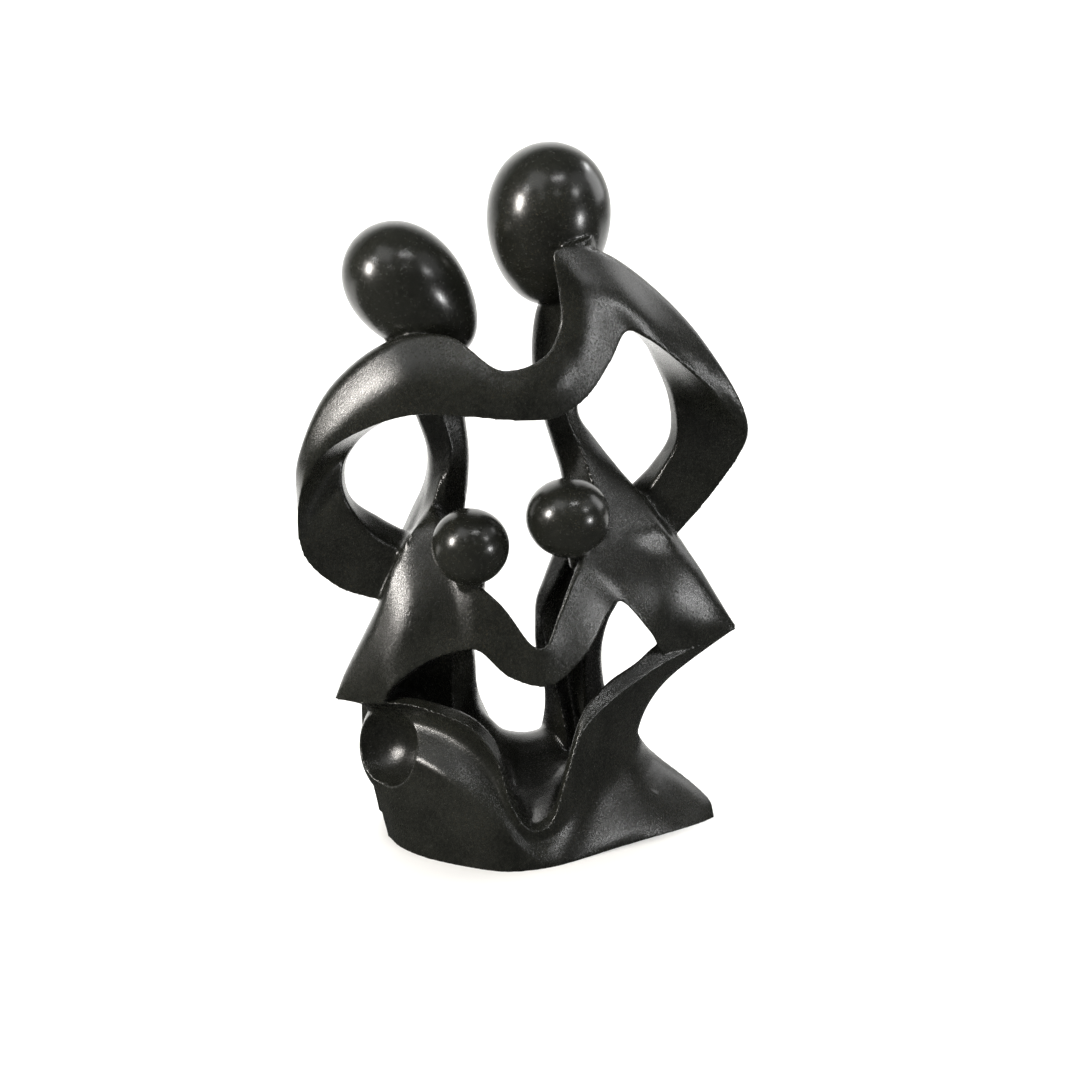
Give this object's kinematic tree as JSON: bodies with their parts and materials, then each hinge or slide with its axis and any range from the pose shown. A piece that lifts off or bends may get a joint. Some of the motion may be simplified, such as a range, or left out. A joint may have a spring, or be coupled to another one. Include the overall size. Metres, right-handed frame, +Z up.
{
  "type": "stone sculpture",
  "caption": "Carved stone family group: faceless egg-headed adults with linked arms shelter children with linked arms on one flared base.",
  "frame": {"origin": "middle of the overall box, on the surface the base stands on", "axes": "+Z up, +X to the viewer's right, front faces -Y"},
  "size_m": [0.2963, 0.1371, 0.4584],
  "materials": {
    "soapstone": "near-black greenish grey soapstone, waxed and polished, satin on the bodies and glossier on the heads"
  },
  "bodies": {
    "root": {"carved_family": "soapstone"}
  },
  "joints": []
}
